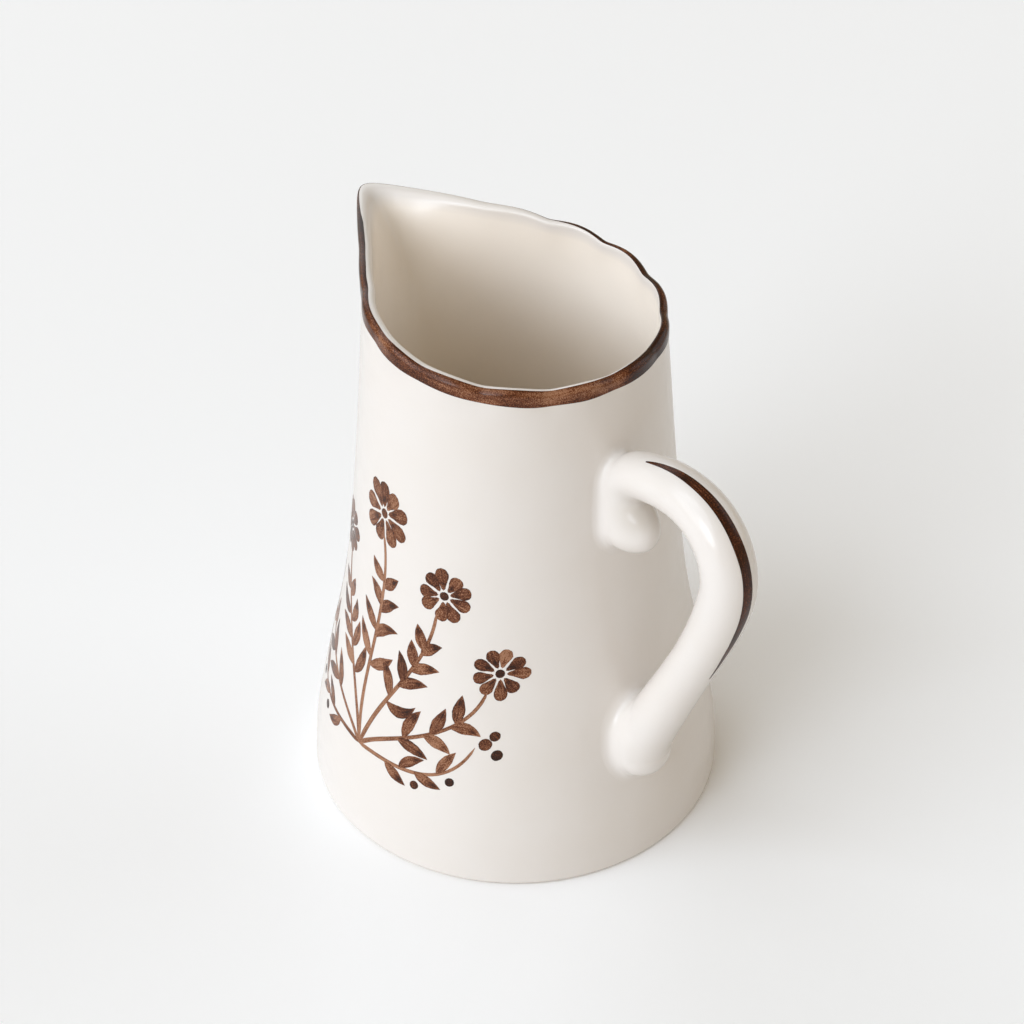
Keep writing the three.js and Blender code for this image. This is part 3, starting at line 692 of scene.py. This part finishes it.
# Painted sprig: daisies, almond leaves and berries on stems that fan out from one foot. Each stem,
# leaf, petal and berry is one brush stroke of brown colour on the wall's -Y side, under the glaze.
SPRIG_AROUND, SPRIG_FOOT = np.radians(-90), (0, 36)
SPRIG_ROWS, SPRIG_COLUMNS = 26, 9
SPRIG_WIDTH_WAVER, SPRIG_WAVER_RUN, SPRIG_LOAD_SPREAD = 0.08, 2.4, 0.1
SPRIG_BRISTLES_ALONG, SPRIG_BRISTLES_ACROSS, SPRIG_BRISTLES_SPREAD = 0.12, 1.5, 50
POOL_LENGTH, POOL_WIDTH = 0.13, 0.6
SPRIG_SEED, WAVER_SEEDS = 21, 1e6
hand = np.random.default_rng(SPRIG_SEED)
sprig = []


def curve_through(points):
    """Coefficients of the polynomial that passes through points at even steps from 0 to 1."""
    points = np.asarray(points, float)
    steps = np.linspace(0, 1, len(points))
    return np.polynomial.polynomial.polyfit(steps, points, len(points) - 1)


def along_curve(curve, run):
    """Points of a polynomial at shares of its run: its coefficients times powers of the share."""
    return np.polynomial.polynomial.polyval(run, curve).T


def paint(spine, width, load, taper, pool=(0.5, 0)):
    """One brush stroke on the wall: a smooth spine through points given as distance round the wall
    and height, with a half width that follows the taper over its run. The colour gathers round one
    place of the run, as a bell curve along and across it."""
    run = np.linspace(0, 1, SPRIG_ROWS)
    line = along_curve(curve_through(spine), run)
    way = np.gradient(line, axis=0)
    way /= np.linalg.norm(way, axis=1, keepdims=True)
    side = np.linspace(-1, 1, SPRIG_COLUMNS)
    unsteady = waver(SPRIG_WAVER_RUN * run, seed=hand.integers(WAVER_SEEDS))
    half = (width / 2 * taper(run) * (1 + SPRIG_WIDTH_WAVER * unsteady))[:, None]
    round_wall = line[:, :1] + half * side * way[:, 1:]
    height = line[:, 1:] - half * side * way[:, :1]
    around = SPRIG_AROUND + round_wall / wall_radius(height)
    surface = draw_out(wall_radius(height), height, around)
    turn_step, rise_step = 0.001, 0.05
    higher = height + rise_step
    over = draw_out(wall_radius(height), height, around + turn_step) - surface
    rise = draw_out(wall_radius(higher), higher, around) - surface
    normals = np.cross(over, rise)
    normals /= np.linalg.norm(normals, axis=-1, keepdims=True)
    flat = 0 * around
    length = np.linalg.norm(np.diff(line, axis=0), axis=1).sum()
    hairs_at = hand.uniform(0, SPRIG_BRISTLES_SPREAD) + flat
    along_pool, across_pool = (run[:, None] - pool[0]) / POOL_LENGTH, side / POOL_WIDTH
    gathered = pool[1] * np.exp(-along_pool ** 2 - across_pool ** 2)
    loaded = load + SPRIG_LOAD_SPREAD * hand.normal() + gathered
    stroke = np.stack([side + flat, loaded, flat], axis=-1)
    hairs_along = SPRIG_BRISTLES_ALONG * length * run[:, None] + hairs_at
    hairs = np.stack([hairs_along, hairs_at, SPRIG_BRISTLES_ACROSS * half * side], axis=-1)
    sprig.append((surface, normals, stroke, hairs, False))


STEM_WIDTH, TENDRIL_WIDTH, STEM_LOAD, STEM_STEP = 1.5, 1.4, 0.22, 0.02
STEM_START, STEM_SLIMMING, STEM_POINT, STEM_POINT_HASTE = 1.15, 0.4, 0.004, 20
LEAF_SWELL, LEAF_POINT, LEAF_FULLNESS = 0.85, 0.01, 0.9
LEAF_BEND, LEAF_LOAD, LEAF_POOL = 0.08, 0.33, (0.74, 0.5)
LEAF_LENGTH, LEAF_SHORTENING, LEAF_LENGTH_SPREAD, LEAF_WIDTH = 13, 1.2, 0.6, 4.3
LEAF_LEAN, LEAF_LEAN_SPREAD = 42, 5
LEAVES_START, LEAVES_SPAN, LEAF_STAGGER = 0.34, 0.5, 0.25
TENDRIL_LEAF_LENGTH, TENDRIL_LEAF_WIDTH = 11, 3.9
DOT_LOAD, DOT_END = 0.75, 0.0004
DAISY_PETALS, DAISY_EYE, PETAL_START, PETAL_FULLNESS = 9, 3.1, 2.1, 1.5
PETAL_LOAD, PETAL_POOL = 0.4, (0.3, 0.35)
PETAL_TURN_SPREAD, PETAL_LENGTH_SPREAD, PETAL_BEND = 3, 0.05, 0.04
PETAL_NARROW, PETAL_WIDE_AT, PETAL_POINT, PETAL_POINT_HASTE = 0.25, 0.75, 0.05, 12
PETAL_END, PETAL_END_POWER = 0.001, 6


def stem_taper(run):
    """Slims evenly towards the end, and is drawn in to a point, as a square root, over the first
    and last twentieth."""
    drawn_in = np.clip(np.minimum(run, 1 - run) * STEM_POINT_HASTE, STEM_POINT, 1)
    return np.sqrt(drawn_in) * (STEM_START - STEM_SLIMMING * run)


def leaf_taper(run):
    """An almond, a power of a sine that is fullest just before the middle."""
    return np.clip(np.sin(np.pi * run ** LEAF_SWELL), LEAF_POINT, 1) ** LEAF_FULLNESS


def petal_taper(run):
    """A drop that widens from its point, easing, to a round end of the sixth power."""
    round_end = np.sqrt(np.clip(1 - run ** PETAL_END_POWER, PETAL_END, 1))
    widening = PETAL_NARROW + (1 - PETAL_NARROW) * smoothstep(run, 0, PETAL_WIDE_AT)
    return round_end * widening * np.clip(run * PETAL_POINT_HASTE, PETAL_POINT, 1)


def dot_taper(run):
    """A circle: the root of one less the square of the way from its middle."""
    return np.sqrt(np.clip(1 - (2 * run - 1) ** 2, DOT_END, 1))


def paint_leaf(foot, degrees, length, width):
    """An almond leaf with a slight curve from its foot towards an angle above the wall's level."""
    way = heading(degrees)
    bend = heading(degrees + 90) * length * LEAF_BEND * hand.normal()
    middle = foot + way * length / 2 + bend
    paint([foot, middle, foot + way * length], width, LEAF_LOAD, leaf_taper, LEAF_POOL)


def paint_dot(centre, width):
    """A round dab, pulled across at any angle."""
    way = heading(hand.uniform(0, 360)) * width / 2
    paint([centre - way, centre, centre + way], width, DOT_LOAD, dot_taper)


def paint_daisy(centre, reach):
    """A ring of petal strokes pulled in towards a dot."""
    start = hand.uniform(0, 360)
    width = reach * PETAL_FULLNESS * np.pi / DAISY_PETALS
    for k in range(DAISY_PETALS):
        way = heading(start + 360 / DAISY_PETALS * k + PETAL_TURN_SPREAD * hand.normal())
        tip = reach * (1 + PETAL_LENGTH_SPREAD * hand.normal())
        bend = np.array([-way[1], way[0]]) * reach * PETAL_BEND * hand.normal()
        middle = centre + way * (PETAL_START + tip) / 2 + bend
        petal = [centre + way * PETAL_START, middle, centre + way * tip]
        paint(petal, width, PETAL_LOAD, petal_taper, PETAL_POOL)
    paint_dot(centre, DAISY_EYE)


# A place is a distance round the wall and a height. A stem has its places, its flower's place and
# reach, and its pairs of leaves. A berry has a place and a width, and a leaf of the tendril has a
# place and a lean.
STEMS = [
    ([SPRIG_FOOT, (-1.5, 66), (1.5, 94), (0, 118)], (0, 124), 10.4, 4),
    ([SPRIG_FOOT, (9, 58), (19, 78), (24, 99)], (26, 105.5), 9.6, 4),
    ([SPRIG_FOOT, (-9, 58), (-19, 78), (-24, 98)], (-26, 104.5), 9.6, 4),
    ([SPRIG_FOOT, (16, 47), (34, 58), (44, 74)], (47, 80.5), 9.0, 3),
    ([SPRIG_FOOT, (-16, 47), (-34, 58), (-44, 73)], (-47, 79.5), 9.0, 3),
]
TENDRIL = [SPRIG_FOOT, (17, 37), (33, 40), (44, 53)]
BERRIES = [(47, 54.5, 4.4), (51.5, 51, 3.9), (49.5, 57.8, 3.6), (26, 33.2, 3.2), (38, 38.4, 3.2)]
TENDRIL_LEAVES = [(13, 36.6, -28), (19, 37.2, 36), (25, 38.2, -18), (33, 40.2, 62)]

for stem, flower, flower_reach, pairs in STEMS:
    paint(stem, STEM_WIDTH, STEM_LOAD, stem_taper)
    curve = curve_through(stem)
    for k in range(pairs):
        for turn in (-1, 1):
            at = LEAVES_START + LEAVES_SPAN * (k + LEAF_STAGGER * (turn > 0)) / pairs
            foot, ahead = along_curve(curve, np.array([at, at + STEM_STEP]))
            lean = np.degrees(np.arctan2(*(ahead - foot)[::-1]))
            lean += turn * (LEAF_LEAN + LEAF_LEAN_SPREAD * hand.normal())
            length = LEAF_LENGTH - LEAF_SHORTENING * k + hand.normal() * LEAF_LENGTH_SPREAD
            paint_leaf(foot, lean, length, LEAF_WIDTH)
    paint_daisy(np.array(flower, float), flower_reach)
for turn in (-1, 1):
    paint(np.array(TENDRIL) * (turn, 1), TENDRIL_WIDTH, STEM_LOAD, stem_taper)
    for x, z, size in BERRIES:
        paint_dot(np.array([turn * x, z]), size)
    for x, z, lean in TENDRIL_LEAVES:
        leaf_lean = lean if turn > 0 else 180 - lean
        paint_leaf(np.array([turn * x, z]), leaf_lean, TENDRIL_LEAF_LENGTH, TENDRIL_LEAF_WIDTH)
add_colour("painted_sprig", sprig)


# Studio: a broad pale floor, five soft window-like lamps, the strongest from the left and front,
# and a warm room light that is stronger from the sides than from above. The camera looks down over
# the handle's side.
CAMERA_AROUND, CAMERA_ABOVE, CAMERA_REACH = np.radians(51.76), np.radians(36.41), 0.6332
CAMERA_LENS, CAMERA_SENSOR = 66.8, 36
CAMERA_AIM_HEIGHT, CAMERA_AIM_LEFT = 0.1016, 0.00133
FLOOR_PALE, FLOOR_SEEN = (0.86, 0.86, 0.86, 1), (1.01, 1.01, 1.018, 1)
FLOOR_HALF, FLOOR_ROUGHNESS = 6, 0.6
ROOM_SIDES, ROOM_TOP = (0.675, 0.504, 0.323, 1), (0.262, 0.222, 0.154, 1)
DAYLIGHT, BACKDROP = (0.82, 0.9, 1), (0.9, 0.9, 0.9, 1)

floor_mesh = bpy.data.meshes.new("studio_floor")
floor_corners = np.array([(-1, -1, 0), (1, -1, 0), (1, 1, 0), (-1, 1, 0)]) * FLOOR_HALF
floor_mesh.from_pydata(floor_corners.tolist(), [], [(0, 1, 2, 3)])
floor_finish, pale = new_finish("pale_floor")
looked_at = pale.node("ShaderNodeLightPath", {}, {}, "Is Camera Ray")
fire(pale, looked_at.blend(FLOOR_PALE, FLOOR_SEEN), FLOOR_ROUGHNESS, (0, 0, 0))
floor_mesh.materials.append(floor_finish)
studio_floor = bpy.data.objects.new("studio_floor", floor_mesh)
bpy.context.scene.collection.objects.link(studio_floor)

room = bpy.data.worlds.new("studio_room")
bpy.context.scene.world = room
room.use_nodes = True
room.node_tree.nodes.clear()
air = Socket(room.node_tree)
seen = air.node("ShaderNodeLightPath", {}, {}, "Is Camera Ray")
direction = air.node("ShaderNodeTexCoord", {}, {}, "Generated")
skyward = air.node("ShaderNodeSeparateXYZ", {}, {0: direction}, "Z")
lowness = 1 - skyward
room_light = (lowness * lowness * lowness).blend(ROOM_TOP, ROOM_SIDES)
room_colour = seen.blend(room_light, BACKDROP)
light = air.node("ShaderNodeBackground", {}, {"Color": room_colour, "Strength": 1})
air.node("ShaderNodeOutputWorld", {}, {"Surface": light})

right = Vector((np.cos(CAMERA_AROUND), np.sin(CAMERA_AROUND), 0))
towards_camera = Vector((np.sin(CAMERA_AROUND), -np.cos(CAMERA_AROUND), 0))
upwards = Vector((0, 0, 1))


def add_lamp(name, around, above, spread, strength):
    """A wide far lamp, at an angle round from the picture's right by way of the back and an angle
    above the floor, both in degrees."""
    lamp = bpy.data.lights.new(name, "SUN")
    lamp.angle, lamp.color, lamp.energy = np.radians(spread), DAYLIGHT, strength
    turn, tilt = np.radians(around), np.radians(above)
    bearing = right * np.cos(turn) - towards_camera * np.sin(turn)
    way = bearing * np.cos(tilt) + upwards * np.sin(tilt)
    placed = bpy.data.objects.new(name, lamp)
    placed.rotation_mode = "QUATERNION"
    placed.rotation_quaternion = (-way).to_track_quat("-Z", "Y")
    bpy.context.scene.collection.objects.link(placed)


add_lamp("wide_window", around=215, above=33, spread=60, strength=1.84)
add_lamp("low_window", around=230, above=20, spread=24, strength=0.705)
add_lamp("skylight", around=180, above=60, spread=40, strength=0.457)
add_lamp("far_window", around=120, above=30, spread=50, strength=0.63)
add_lamp("right_window", around=20, above=30, spread=50, strength=0.55)

camera_data = bpy.data.cameras.new("camera")
camera_data.lens, camera_data.sensor_width = CAMERA_LENS, CAMERA_SENSOR
camera = bpy.data.objects.new("camera", camera_data)
camera_way = towards_camera * np.cos(CAMERA_ABOVE) + upwards * np.sin(CAMERA_ABOVE)
camera_aim = upwards * CAMERA_AIM_HEIGHT - right * CAMERA_AIM_LEFT
camera.location = camera_aim + camera_way * CAMERA_REACH
camera.rotation_mode = "QUATERNION"
camera.rotation_quaternion = (-camera_way).to_track_quat("-Z", "Y")
bpy.context.scene.collection.objects.link(camera)
bpy.context.scene.camera = camera
bpy.context.scene.view_settings.view_transform = "Standard"
